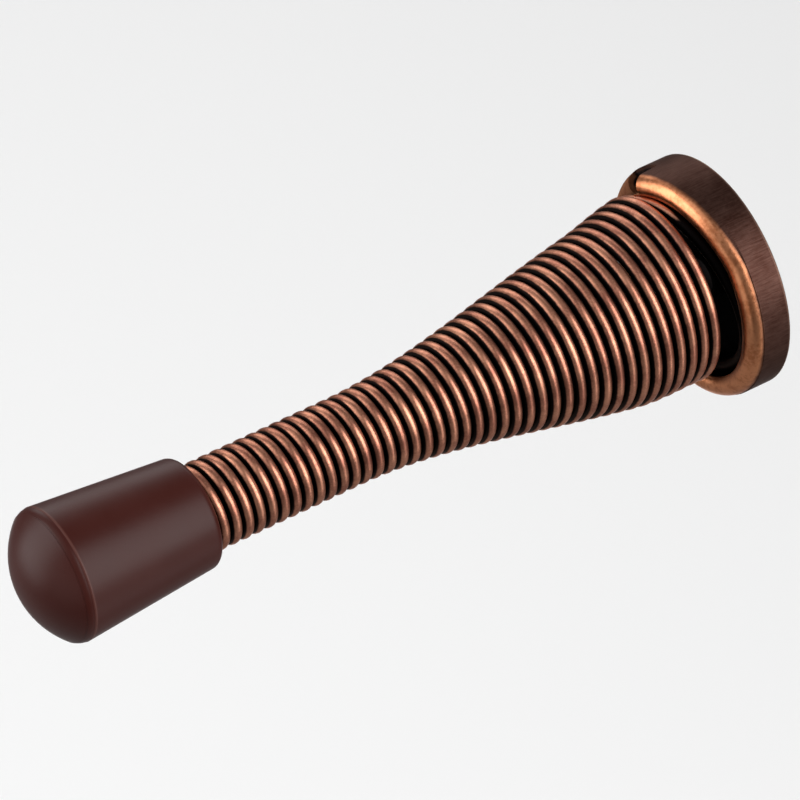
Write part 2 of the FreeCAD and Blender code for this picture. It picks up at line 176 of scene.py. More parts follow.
class NodeKit:
    """Builds one material's nodes round a Principled shader."""

    def __init__(self, name: str) -> None:
        """Start an empty material.

        Args:
            name: the material's name.
        """
        self.material = bpy.data.materials.new(name)
        self.material.use_nodes = True
        self.tree = self.material.node_tree
        self.tree.nodes.clear()

    def node(
        self, kind: str, settings: dict[str, Any], inputs: dict[Any, Any]
    ) -> bpy.types.Node:
        """Add any node.

        Args:
            kind: the node's type, such as ShaderNodeTexNoise.
            settings: attributes of the node, set before its sockets.
            inputs: socket name or number to a value, a Shade or an output socket.

        Returns:
            The new node.
        """
        node = self.tree.nodes.new(kind)
        for name, value in settings.items():
            setattr(node, name, value)
        for name, value in inputs.items():
            if isinstance(value, Shade):
                value = value.socket
            if isinstance(value, bpy.types.NodeSocket):
                self.tree.links.new(value, node.inputs[name])
            else:
                node.inputs[name].default_value = value
        return node

    def math(self, operation: str, *operands: Operand) -> Shade:
        """Add a Math node on values and return its result."""
        node = self.node("ShaderNodeMath", {"operation": operation}, dict(enumerate(operands)))
        return Shade(self, node.outputs["Value"])

    def mix(self, factor: Operand, first: Any, second: Any) -> bpy.types.NodeSocket:
        """Mix two colours.

        Args:
            factor: 0 gives the first colour, 1 the second.
            first: a colour or a colour socket.
            second: a colour or a colour socket.

        Returns:
            The mixed colour's socket.
        """
        inputs: dict[Any, Any] = {MIX_FACTOR: factor}
        for slot, colour in ((MIX_FIRST, first), (MIX_SECOND, second)):
            inputs[slot] = (*colour, 1.0) if isinstance(colour, tuple) else colour
        node = self.node("ShaderNodeMix", {"data_type": "RGBA"}, inputs)
        return node.outputs[MIX_RESULT]

    def place(self, scale: Triple = UNSCALED) -> bpy.types.NodeSocket:
        """Object coordinates, stretched.

        Args:
            scale: factor on each axis.

        Returns:
            The coordinates' socket.
        """
        coordinates = self.node("ShaderNodeTexCoord", {}, {}).outputs["Object"]
        if scale == UNSCALED:
            return coordinates
        inputs = {0: coordinates, 1: scale}
        return self.node("ShaderNodeVectorMath", {"operation": "MULTIPLY"}, inputs).outputs[0]

    def axes(self) -> tuple[Shade, Shade, Shade]:
        """The Object coordinates as values.

        Returns:
            The values along X, Y and Z.
        """
        node = self.node("ShaderNodeSeparateXYZ", {}, {0: self.place()})
        x, y, z = (Shade(self, node.outputs[i]) for i in range(3))
        return x, y, z

    def noise(
        self, grain: float, detail: float = FINE_DETAIL, stretch: Triple = UNSCALED
    ) -> Shade:
        """Cloudy noise from 0 to 1.

        Args:
            grain: size of the clouds in metres.
            detail: number of finer layers.
            stretch: factors on the coordinates; a small one draws the clouds out on that axis.

        Returns:
            The noise value.
        """
        inputs = {
            "Vector": self.place(stretch),
            "Scale": 1.0 / grain,
            "Detail": detail,
            "Roughness": NOISE_ROUGHNESS,
        }
        return Shade(self, self.node("ShaderNodeTexNoise", {}, inputs).outputs[0])

    def attribute(self, name: str) -> Shade:
        """A value stored on the mesh."""
        node = self.node("ShaderNodeAttribute", {"attribute_name": name}, {})
        return Shade(self, node.outputs["Fac"])

    def bump(self, height: Shade, depth: float, strength: float) -> bpy.types.NodeSocket:
        """Normal bumped by a relief from 0 to 1, of a depth in metres and a share that shows."""
        inputs = {"Strength": strength, "Distance": depth, "Height": height}
        return self.node("ShaderNodeBump", {}, inputs).outputs[0]

    def surface(self, **sockets: Any) -> bpy.types.Material:
        """Finish the material with a Principled shader.

        Args:
            **sockets: socket names, with underscores for spaces, and their values or links.

        Returns:
            The material.
        """
        inputs = {name.replace("_", " "): value for name, value in sockets.items()}
        shader = self.node("ShaderNodeBsdfPrincipled", {}, inputs)
        self.node("ShaderNodeOutputMaterial", {}, {"Surface": shader.outputs[0]})
        return self.material


@dataclass(frozen=True)
class WireFinish:
    """Antique copper plate on the spring: buffed crests, and black between the turns as patina
    plus painted shade.
    """

    copper: Colour = (0.63, 0.287, 0.183)
    browned: Colour = (0.36, 0.136, 0.092)
    # black between the turns and on the end turn in the cup: patina plus painted shade
    black: Colour = (0.004, 0.003, 0.003)
    edge_tint: Tint = (0.85, 0.74, 0.70, 1.0)
    crest_attribute: str = "crest"
    mottle_size: float = 2.2 * MM
    scuff_size: float = 0.5 * MM
    scuff_stretch: Triple = (1.0, 3.0, 1.0)
    grain_size: float = 0.18 * MM
    ragged_by: float = 0.10
    patina_and_painted_shade_span: Span = (0.65, 0.86)
    mottle_share: float = 0.6
    grain_share: float = 0.4
    copper_span: Span = (0.36, 0.64)
    plain_roughness: float = 0.50
    buffed_smoothing: float = 0.13
    scuff_roughness: float = 0.16
    relief_size: float = 0.16 * MM
    relief_depth: float = 0.02 * MM
    relief_strength: float = 0.35

    def make(self) -> bpy.types.Material:
        """Build the material.

        Returns:
            The material.
        """
        kit = NodeKit("antique_copper_wire")
        crest = kit.attribute(self.crest_attribute)
        mottle = kit.noise(self.mottle_size)
        scuff = kit.noise(self.scuff_size, stretch=self.scuff_stretch)
        ragged = crest + mottle.uneven(self.ragged_by) + scuff.uneven(self.ragged_by)
        # Copper where the wire faces outwards; black in the gaps between turns and inside the
        # cup, standing in for patina and for painted shade there.
        buffed = ragged.step(*self.patina_and_painted_shade_span)
        grain = kit.noise(self.grain_size)
        worn = mottle * self.mottle_share + grain * self.grain_share
        tone = kit.mix(worn.step(*self.copper_span), self.browned, self.copper)
        smooth = self.plain_roughness - self.buffed_smoothing * buffed
        relief = kit.noise(self.relief_size, detail=COARSE_DETAIL)
        return kit.surface(
            Base_Color=kit.mix(buffed, self.black, tone),
            Metallic=1.0,
            Roughness=smooth + scuff.uneven(self.scuff_roughness),
            Specular_Tint=self.edge_tint,
            Normal=kit.bump(relief, self.relief_depth, self.relief_strength),
        )


@dataclass(frozen=True)
class CupFinish:
    """Antique copper plate on the base cup: dark drawn wall, buffed rim, recess black as oxide
    plus painted shade.
    """

    rim_middle: float
    rim_height: float
    outer: float
    ramp_start: float
    ramp_sweep: float
    ramp_rise: float
    copper: Colour = (0.68, 0.278, 0.134)
    browned: Colour = (0.47, 0.164, 0.070)
    wall: Colour = (0.092, 0.047, 0.037)
    wall_dark: Colour = (0.034, 0.012, 0.008)
    worn_edge: Colour = (0.34, 0.20, 0.15)
    edge_tint: Tint = (0.82, 0.74, 0.71, 1.0)
    # black inside the cup: black oxide plus painted shade in the recess
    black: Colour = (0.004, 0.003, 0.003)
    mottle_size: float = 1.8 * MM
    speckle_size: float = 0.35 * MM
    drawn_size: float = 0.13 * MM
    drawn_stretch: Triple = (1.0, 0.08, 1.0)
    ramp_end: float = 1.02
    ramp_darkening: float = 0.25
    ragged_by: float = 0.30
    rim_span: Span = (-0.10, 0.40)
    skin_span: Span = (0.64 * MM, 0.86 * MM)
    lip_span: Span = (2.30, 2.70)
    notch_span: Span = (1.15, 1.25)
    past_notch_span: Span = (1.45, 1.75)
    notch_darkening: float = 0.7
    outside_depths: Span = (0.4 * MM, 0.2 * MM)
    drawn_share: float = 0.5
    speckle_share: float = 0.2
    mottle_share: float = 0.3
    wall_span: Span = (0.25, 0.75)
    rim_mottle_share: float = 0.5
    rim_speckle_share: float = 0.5
    copper_span: Span = (0.36, 0.60)
    edge_span: Span = (0.08 * MM, 0.32 * MM)
    edge_wear: float = 0.7
    plain_roughness: float = 0.48
    rim_smoothing: float = 0.16
    hidden_roughness: float = 0.40
    speckle_roughness: float = 0.18
    recess_shine: float = 0.1
    speckle_relief: float = 0.25
    relief_depth: float = 0.03 * MM
    relief_strength: float = 0.5

    def make(self) -> bpy.types.Material:
        """Build the material.

        Returns:
            The material.
        """
        kit = NodeKit("antique_copper_cup")
        x, y, z = kit.axes()
        radius = (x * x + z * z) ** 0.5
        height = -1.0 * y
        mottle = kit.noise(self.mottle_size)
        speckle = kit.noise(self.speckle_size)
        drawn = kit.noise(self.drawn_size, stretch=self.drawn_stretch)

        along = (kit.math("ARCTAN2", z, x) - self.ramp_start) / self.ramp_sweep
        rise = along.share(0.0, 1.0) * along.below(self.ramp_end) * self.ramp_rise
        over = height - rise - self.rim_height
        out = radius - self.rim_middle
        ragged = kit.math("ARCTAN2", over, out) + mottle.uneven(self.ragged_by)
        darkened = ragged - rise * (self.ramp_darkening / self.ramp_rise)
        skin = (over ** 2.0 + out ** 2.0) ** 0.5
        top_side = skin.step(*self.skin_span) * (1.0 - ragged.step(*self.lip_span))
        by_notch = along.step(*self.notch_span) * (1.0 - along.step(*self.past_notch_span))
        rim = darkened.step(*self.rim_span) * top_side * (1.0 - self.notch_darkening * by_notch)
        inner_depth, outer_depth = self.outside_depths
        outside = radius.step(self.outer - inner_depth, self.outer - outer_depth)
        hidden = (1.0 - outside) * (1.0 - rim)

        grain = drawn * self.drawn_share + speckle * self.speckle_share
        grain = grain + mottle * self.mottle_share
        wall_tone = kit.mix(grain.step(*self.wall_span), self.wall_dark, self.wall)
        buffed = mottle * self.rim_mottle_share + speckle * self.rim_speckle_share
        rim_tone = kit.mix(buffed.step(*self.copper_span), self.browned, self.copper)
        # Everything inside the cup but the rim is black, less metallic and rougher: black oxide
        # plus painted shade in the recess.
        plain = kit.mix(outside, self.black, wall_tone)
        edge = (1.0 - height.step(*self.edge_span)) * outside
        worn = kit.mix(edge * self.edge_wear, plain, self.worn_edge)

        smooth = self.plain_roughness - self.rim_smoothing * rim + self.hidden_roughness * hidden
        relief = drawn * outside * (1.0 - rim) + speckle * self.speckle_relief
        return kit.surface(
            Base_Color=kit.mix(rim, worn, rim_tone),
            Metallic=1.0 - hidden,
            Roughness=smooth + speckle.uneven(self.speckle_roughness),
            Specular_IOR_Level=self.recess_shine,
            Specular_Tint=self.edge_tint,
            Normal=kit.bump(relief, self.relief_depth, self.relief_strength),
        )


@dataclass(frozen=True)
class RubberFinish:
    """Moulded brown rubber with a satin skin and a painted highlight line along the dome's
    crease.
    """

    crease: float
    line: float = 0.16 * MM
    line_fade: float = 0.2
    line_share: float = 0.6
    brown: Colour = (0.044, 0.0070, 0.0044)
    bloom: Colour = (0.055, 0.0120, 0.0088)
    # colour of the painted highlight line just before the crease
    crease_highlight: Colour = (0.115, 0.0420, 0.0330)
    cloud_size: float = 5.0 * MM
    pore_size: float = 0.22 * MM
    bloom_span: Span = (0.30, 0.80)
    bloom_share: float = 0.6
    plain_roughness: float = 0.40
    cloud_roughness: float = 0.10
    pore_roughness: float = 0.08
    shine: float = 0.21
    relief_depth: float = 0.02 * MM
    relief_strength: float = 0.30

    def make(self) -> bpy.types.Material:
        """Build the material.

        Returns:
            The material.
        """
        kit = NodeKit("brown_rubber")
        cloud = kit.noise(self.cloud_size)
        pores = kit.noise(self.pore_size, detail=COARSE_DETAIL)
        height = -1.0 * kit.axes()[1]
        fade = self.line_fade * self.line
        # A painted highlight: a paler strip on the side just before the crease, where the edge
        # would catch the light.
        before = height.step(self.crease - 2.0 * self.line, self.crease - self.line)
        after = height.step(self.crease - fade, self.crease + fade)
        bloomed = cloud.step(*self.bloom_span) * self.bloom_share
        skin = kit.mix(bloomed, self.brown, self.bloom)
        smooth = self.plain_roughness + cloud.uneven(self.cloud_roughness)
        return kit.surface(
            Base_Color=kit.mix(before * (1.0 - after) * self.line_share, skin, self.crease_highlight),
            Roughness=smooth + pores.uneven(self.pore_roughness),
            Specular_IOR_Level=self.shine,
            Normal=kit.bump(pores, self.relief_depth, self.relief_strength),
        )


def deselect_all() -> None:
    """Leave edit mode and deselect everything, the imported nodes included."""
    if bpy.context.object and bpy.context.object.mode != "OBJECT":
        bpy.ops.object.mode_set(mode="OBJECT")
    bpy.ops.object.select_all(action="DESELECT")


def arc(centre: Point2, radius: float, first: float, last: float, pieces: int) -> list[Point2]:
    """Points along an arc.

    Args:
        centre: middle of the arc as (radius from the axis, height).
        radius: radius of the arc.
        first: angle of the first point in degrees, from the direction away from the axis.
        last: angle of the last point in degrees.
        pieces: number of straight pieces.

    Returns:
        The points, both ends included.
    """
    x, y = centre
    angles = [math.radians(first + (last - first) * i / pieces) for i in range(pieces + 1)]
    return [(x + radius * math.cos(a), y + radius * math.sin(a)) for a in angles]


def straight(start: Point2, end: Point2, pieces: int) -> list[Point2]:
    """Points along a straight stretch.

    Args:
        start: first point.
        end: last point.
        pieces: number of pieces.

    Returns:
        The points, both ends included.
    """
    (x, y), (far_x, far_y) = start, end
    shares = [i / pieces for i in range(pieces + 1)]
    return [(x + (far_x - x) * share, y + (far_y - y) * share) for share in shares]


def without_repeats(outline: Sequence[Point2]) -> list[Point2]:
    """Drop points that lie on the one before them.

    Args:
        outline: points of an outline.

    Returns:
        The points that are kept.
    """
    kept = [outline[0]]
    for point in outline[1:]:
        if math.dist(point, kept[-1]) > SAME_POINT:
            kept.append(point)
    return kept


def turn_outline(
    name: str, outline: Sequence[Point2], steps: int, closed: bool
) -> bpy.types.Object:
    """Model a turned piece: extrude a corner along its outline, then spin it about the axis.

    Args:
        name: name of the piece.
        outline: (radius, height) points from one end to the other.
        steps: number of faces round the piece.
        closed: whether the outline's last point joins its first.

    Returns:
        The finished piece, with its place in its mesh.
    """
    points = [Vector((r, -h, 0.0)) for r, h in without_repeats(outline)]
    deselect_all()
    bpy.ops.mesh.primitive_plane_add(size=2.0 * MM, location=AXIS_POINT)
    piece = bpy.context.object
    piece.name = name
    piece.data.name = name
    bpy.ops.object.mode_set(mode="EDIT")
    bpy.ops.mesh.merge(type="CENTER")
    bpy.ops.transform.translate(value=points[0])
    for before, after in zip(points, points[1:]):
        bpy.ops.mesh.extrude_region_move(TRANSFORM_OT_translate={"value": after - before})
    bpy.ops.mesh.select_all(action="SELECT")
    if closed:
        bpy.ops.mesh.edge_face_add()
        bpy.ops.mesh.delete(type="ONLY_FACE")
        bpy.ops.mesh.select_all(action="SELECT")
    bpy.ops.mesh.spin(steps=steps, angle=math.tau, center=AXIS_POINT, axis=AXIS)
    bpy.ops.mesh.select_all(action="SELECT")
    bpy.ops.mesh.remove_doubles(threshold=MERGE_DISTANCE)
    bpy.ops.mesh.normals_make_consistent(inside=False)
    bpy.ops.object.mode_set(mode="OBJECT")
    bpy.ops.object.shade_smooth_by_angle(angle=SMOOTH_ANGLE)
    return piece


def put_on(piece: bpy.types.Object, material: bpy.types.Material, node: str) -> None:
    """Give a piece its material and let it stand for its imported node.

    Args:
        piece: the modelled piece.
        material: its finish.
        node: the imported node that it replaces.
    """
    piece.data.materials.clear()
    piece.data.materials.append(material)
    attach(piece, ROOT_BODY)
    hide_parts(node)
    LOG.info("%s: %d faces", piece.name, len(piece.data.polygons))


@dataclass
class BaseCup:
    """Drawn base cup with a rim rolled inwards into a lip, a ramp and a notch for the wire."""

    diameter: float = 24.0 * MM
    wall_height: float = 3.1 * MM
    back_edge: float = 0.2 * MM
    sheet: float = 0.7 * MM
    bend: float = 0.3 * MM
    shoulder: float = 0.08 * MM
    rim_radius: float = 1.28 * MM
    lip_turn: float = 125.0
    screw_hole: float = 3.8 * MM
    hole_edge: float = 0.04 * MM
    collar_height: float = 2.0 * MM
    collar_wall: float = 0.6 * MM
    ramp_start: float = 45.0
    ramp_sweep: float = 76.0
    ramp_rise: float = 1.5 * MM
    ramp_overrun: float = 1.1
    notch_sweep: float = 23.0
    cutter_depth: float = 4.0 * MM
    cutter_reach: float = 8.0 * MM
    cutter_steps: int = 12
    steps: int = 192
    edge_pieces: int = 3
    flat_pieces: int = 6
    rim_pieces: int = 24
    lip_pieces: int = 10
    bend_pieces: int = 5
    collar_pieces: int = 2

    @property
    def rim_centre(self) -> Point2:
        """Middle of the rolled rim's section."""
        radius = self.diameter / 2 - self.shoulder - self.rim_radius
        return (radius, self.wall_height + self.shoulder)

    @property
    def lip_inside(self) -> float:
        """Radius of the lip's free edge."""
        return self.rim_centre[0] + self.rim_radius * math.cos(math.radians(self.lip_turn))

    @property
    def inside(self) -> float:
        """Radius of the wall's inner side."""
        return self.diameter / 2 - self.shoulder - self.sheet

    def outline(self) -> list[Point2]:
        """Section of the cup.

        Returns:
            The points from the hole's back edge round the outside to the hole's front edge.
        """
        outer, back = self.diameter / 2, self.back_edge
        hole, edge = self.screw_hole / 2, self.hole_edge
        collar, top = hole + self.collar_wall, self.collar_height - self.hole_edge
        rim = self.rim_centre
        turn = math.radians(self.lip_turn)
        lip_radius = self.rim_radius - self.sheet / 2
        lip = (rim[0] + lip_radius * math.cos(turn), rim[1] + lip_radius * math.sin(turn))
        inside, corner = self.inside, (self.inside - self.bend, self.sheet + self.bend)
        flat, small = self.flat_pieces, self.edge_pieces
        return [
            *arc((hole + edge, edge), edge, 180, 270, small),
            *straight((hole + 2 * edge, 0.0), (outer - back, 0.0), flat)[1:],
            *arc((outer - back, back), back, -90, 0, flat),
            *straight((outer, back), (outer, self.wall_height), flat),
            *arc(rim, self.rim_radius, 0, self.lip_turn, self.rim_pieces),
            *arc(lip, self.sheet / 2, self.lip_turn, self.lip_turn + 180, self.lip_pieces),
            *arc(rim, self.rim_radius - self.sheet, self.lip_turn, 0, self.lip_pieces),
            *straight((inside, rim[1]), (inside, corner[1]), small),
            *arc(corner, self.bend, 0, -90, self.bend_pieces),
            *straight((corner[0], self.sheet), (collar, self.sheet), flat),
            *straight((collar, self.sheet), (collar, top), self.collar_pieces),
            *arc((collar - edge, top), edge, 0, 90, small),
            *arc((hole + edge, top), edge, 90, 180, small),
        ]

    def ramp_share(self, place: Vector) -> float:
        """Share of the ramp's rise at a point of the cup.

        Args:
            place: a corner of the turned cup.

        Returns:
            The rise over that of the overrun ramp, 0 outside the ramp and on the wall.
        """
        angle = math.degrees(math.atan2(place.z, place.x))
        along = (angle - self.ramp_start) / self.ramp_sweep
        on_wall = -place.y < self.wall_height + self.shoulder / 2
        if on_wall or not 0.0 < along < self.ramp_overrun:
            return 0.0
        return along / self.ramp_overrun

    def raise_ramp(self, piece: bpy.types.Object) -> None:
        """Lift the rim along the ramp with a weighted displacement.

        Args:
            piece: the turned cup.
        """
        group = piece.vertex_groups.new(name="ramp")
        for vertex in piece.data.vertices:
            group.add([vertex.index], self.ramp_share(vertex.co), "REPLACE")
        lift = piece.modifiers.new("lift", "DISPLACE")
        lift.direction = "Y"
        lift.mid_level = 0.0
        lift.strength = -self.ramp_rise * self.ramp_overrun
        lift.vertex_group = group.name
        bpy.ops.object.modifier_apply(modifier=lift.name)
        piece.vertex_groups.clear()

    def notch_cutter(self) -> bpy.types.Object:
        """Model the block that cuts the notch, spun through the notch's sweep.

        Returns:
            The block.
        """
        deselect_all()
        bpy.ops.mesh.primitive_plane_add(size=1.0)
        block = bpy.context.object
        bpy.ops.object.mode_set(mode="EDIT")
        bpy.ops.transform.resize(value=(self.cutter_depth, self.cutter_reach, 1.0))
        middle = Vector((self.diameter / 2, -self.wall_height - self.cutter_reach / 2, 0.0))
        bpy.ops.transform.translate(value=middle)
        first = math.radians(self.ramp_start + self.ramp_sweep)
        bpy.ops.transform.rotate(value=first, orient_axis="Y", center_override=AXIS_POINT)
        sweep = math.radians(self.notch_sweep)
        bpy.ops.mesh.spin(steps=self.cutter_steps, angle=sweep, center=AXIS_POINT, axis=AXIS)
        bpy.ops.mesh.select_all(action="SELECT")
        bpy.ops.mesh.normals_make_consistent(inside=False)
        bpy.ops.object.mode_set(mode="OBJECT")
        return block

    def cut_notch(self, piece: bpy.types.Object) -> None:
        """Cut the notch where the spring's wire passes the rim.

        Args:
            piece: the cup with its ramp.
        """
        block = self.notch_cutter()
        deselect_all()
        bpy.context.view_layer.objects.active = piece
        piece.select_set(True)
        notch = piece.modifiers.new("notch", "BOOLEAN")
        notch.operation = "DIFFERENCE"
        notch.object = block
        bpy.ops.object.modifier_apply(modifier=notch.name)
        bpy.data.objects.remove(block)

    def build(self) -> bpy.types.Object:
        """Model the cup.

        Returns:
            The cup.
        """
        piece = turn_outline("base_cup_drawn", self.outline(), self.steps, closed=True)
        self.raise_ramp(piece)
        self.cut_notch(piece)
        bpy.ops.object.shade_smooth_by_angle(angle=SMOOTH_ANGLE)
        return piece

    def dress(self, piece: bpy.types.Object) -> None:
        """Give the cup its finish.

        Args:
            piece: the cup.
        """
        finish = CupFinish(
            rim_middle=self.rim_centre[0],
            rim_height=self.rim_centre[1],
            outer=self.diameter / 2,
            ramp_start=math.radians(self.ramp_start),
            ramp_sweep=math.radians(self.ramp_sweep),
            ramp_rise=self.ramp_rise,
        )
        put_on(piece, finish.make(), "base_cup")


def ease(share: float) -> float:
    """Run from 0 to 1 with a level start and finish."""
    share = min(max(share, 0.0), 1.0)
    return share * share * (3.0 - 2.0 * share)


@dataclass
class CoilSpring:
    """Close-wound spring: straight neck, flare, and an end turn hooked under the cup's lip."""

    cup: BaseCup
    mouth: float
    grip: float
    wire: float = 1.25 * MM
    winding_gap: float = 0.08 * MM
    neck_diameter: float = 8.84 * MM
    neck_length: float = 16.7 * MM
    flare_diameter: float = 19.66 * MM
    base_slope: float = -0.05
    flare_lift: float = 1.4 * MM
    lean_offset: float = 0.65 * MM
    lean_length: float = 8.0 * MM
    lean_direction: float = math.radians(138.8)
    lean_turns: float = 0.12
    hook_turns: float = 0.45
    gather_turns: float = 0.3
    rise_turns: float = 0.5
    hook_clearance: float = 0.25 * MM
    lip_clearance: float = 0.35 * MM
    hook_lift: float = 0.1 * MM
    seat_clearance: float = 0.03 * MM
    points_per_turn: int = 64
    wire_rounding: int = 7
    outline_samples: int = 800
    slope_reach: float = 0.05 * MM
    smooth_angle: float = math.radians(50.0)

    def __post_init__(self) -> None:
        """Work out the radii and heights that depend on the cup and the tip."""
        half = self.wire / 2
        self.hook_radius = self.cup.inside - self.hook_clearance - half
        self.throat_radius = self.cup.lip_inside - self.lip_clearance - half
        self.flare_radius = self.flare_diameter / 2 - half
        self.neck_radius = self.neck_diameter / 2 - half
        self.hook_height = self.cup.collar_height + self.hook_lift + half
        self.flare_start = self.cup.rim_centre[1] + self.cup.rim_radius + self.flare_lift
        self.flare_end = self.mouth - self.neck_length
        self.wire_end = self.mouth + self.grip - self.seat_clearance - half

    def coil_radius(self, height: float) -> float:
        """Radius of the winding.

        Args:
            height: distance from the wall.

        Returns:
            The radius of the wire's middle line there.
        """
        span = self.flare_end - self.flare_start
        u = min(max((height - self.flare_start) / span, 0.0), 1.0)
        at_base = (1.0 + 2.0 * u) * (1.0 - u) ** 2
        tilt = u * (1.0 - u) ** 2 * span * self.base_slope
        return at_base * self.flare_radius + tilt + (1.0 - at_base) * self.neck_radius

    def slant(self, height: float) -> float:
        """Length of the flare's outline for each metre of height.

        Args:
            height: distance from the wall.

        Returns:
            The length, 1 on the straight neck.
        """
        reach = self.slope_reach
        fall = self.coil_radius(height + reach) - self.coil_radius(height - reach)
        return math.hypot(1.0, fall / (2.0 * reach))

    def lean(self, turns: float, height: float) -> float:
        """Sideways shift of the turns over the notch.

        Args:
            turns: turns past the start of the close winding.
            height: distance from the wall.

        Returns:
            The shift, lost on the way up and inside the rim.
        """
        out_of_rim = ease(turns / self.lean_turns + 0.5)
        lost = ease((height - self.flare_start) / self.lean_length)
        return self.lean_offset * out_of_rim * (1.0 - lost)

    def place(self, turns: float, radius: float, height: float) -> Vector:
        """Point of the wire's middle line.

        Args:
            turns: turns past the start of the close winding.
            radius: radius of the winding.
            height: distance from the wall.

        Returns:
            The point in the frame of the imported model.
        """
        angle = self.lean_direction + math.tau * turns
        lean = self.lean(turns, height)
        x = radius * math.cos(angle) + lean * math.cos(self.lean_direction)
        z = radius * math.sin(angle) + lean * math.sin(self.lean_direction)
        return Vector((x, -height, z))

    def end_turn(self) -> list[Vector]:
        """Hook under the lip, gathered in to pass it, then raised to the close winding.

        Returns:
            The points of the wire's middle line.
        """
        before = self.hook_turns + self.gather_turns + self.rise_turns
        line = []
        for number in range(round(before * self.points_per_turn)):
            turns = number / self.points_per_turn
            gathered = ease((turns - self.hook_turns) / self.gather_turns)
            raised = ease((turns - self.hook_turns - self.gather_turns) / self.rise_turns)
            spread = ease(2.0 * raised - 1.0)
            radius = self.hook_radius + (self.throat_radius - self.hook_radius) * gathered
            radius += (self.flare_radius - self.throat_radius) * spread
            height = self.hook_height + (self.flare_start - self.hook_height) * raised
            line.append(self.place(turns - before, radius, height))
        return line

    def close_winding(self) -> list[Vector]:
        """Turns side by side up the flare and the neck.

        Returns:
            The points of the wire's middle line.
        """
        thin = (self.wire_end - self.flare_start) / self.outline_samples
        middles = [self.flare_start + (i + 0.5) * thin for i in range(self.outline_samples)]
        outline = thin * sum(self.slant(middle) for middle in middles)
        count = int(outline / (self.wire + self.winding_gap) * self.points_per_turn)
        height = self.flare_start
        line = []
        for number in range(count + 1):
            turns = number / self.points_per_turn
            line.append(self.place(turns, self.coil_radius(height), height))
            height += outline / count / self.slant(height)
        return line

    def middle_line(self) -> bpy.types.Curve:
        """Lay the wire's middle line as a curve with a round bevel.

        Returns:
            The curve.
        """
        points = self.end_turn() + self.close_winding()
        curve = bpy.data.curves.new("coil_spring_wire", "CURVE")
        curve.dimensions = "3D"
        curve.bevel_depth = self.wire / 2
        curve.bevel_resolution = self.wire_rounding
        curve.use_fill_caps = True
        spline = curve.splines.new("POLY")
        spline.points.add(len(points) - 1)
        for knot, point in zip(spline.points, points):
            knot.co = (*point, 1.0)
        return curve

    def build(self) -> bpy.types.Object:
        """Model the wire and make it a mesh.

        Returns:
            The spring.
        """
        deselect_all()
        wire = bpy.data.objects.new("coil_spring_wound", self.middle_line())
        bpy.context.collection.objects.link(wire)
        bpy.context.view_layer.objects.active = wire
        wire.select_set(True)
        bpy.ops.object.convert(target="MESH")
        piece = bpy.context.object
        bpy.ops.object.mode_set(mode="EDIT")
        bpy.ops.mesh.select_all(action="SELECT")
        bpy.ops.mesh.normals_make_consistent(inside=False)
        bpy.ops.object.mode_set(mode="OBJECT")
        bpy.ops.object.shade_smooth_by_angle(angle=self.smooth_angle)
        self.mark_crests(piece)
        return piece

    def mark_crests(self, piece: bpy.types.Object) -> None:
        """Store how far the wire's corners face away from the axis, less so inside the cup.

        Args:
            piece: the spring.
        """
        mesh = piece.data
        crest = mesh.attributes.new(WireFinish.crest_attribute, "FLOAT", "POINT")
        for vertex, value in zip(mesh.vertices, crest.data):
            away = Vector((vertex.co.x, 0.0, vertex.co.z)).normalized()
            # A low crest value inside the cup turns the end turn black: unbuffed patina plus
            # painted shade under the lip.
            in_open = ease((-vertex.co.y - self.flare_start + self.wire) / self.wire)
            value.value = vertex.normal.dot(away) * in_open

    def dress(self, piece: bpy.types.Object) -> None:
        """Give the spring its finish."""
        put_on(piece, WireFinish().make(), "coil_spring")


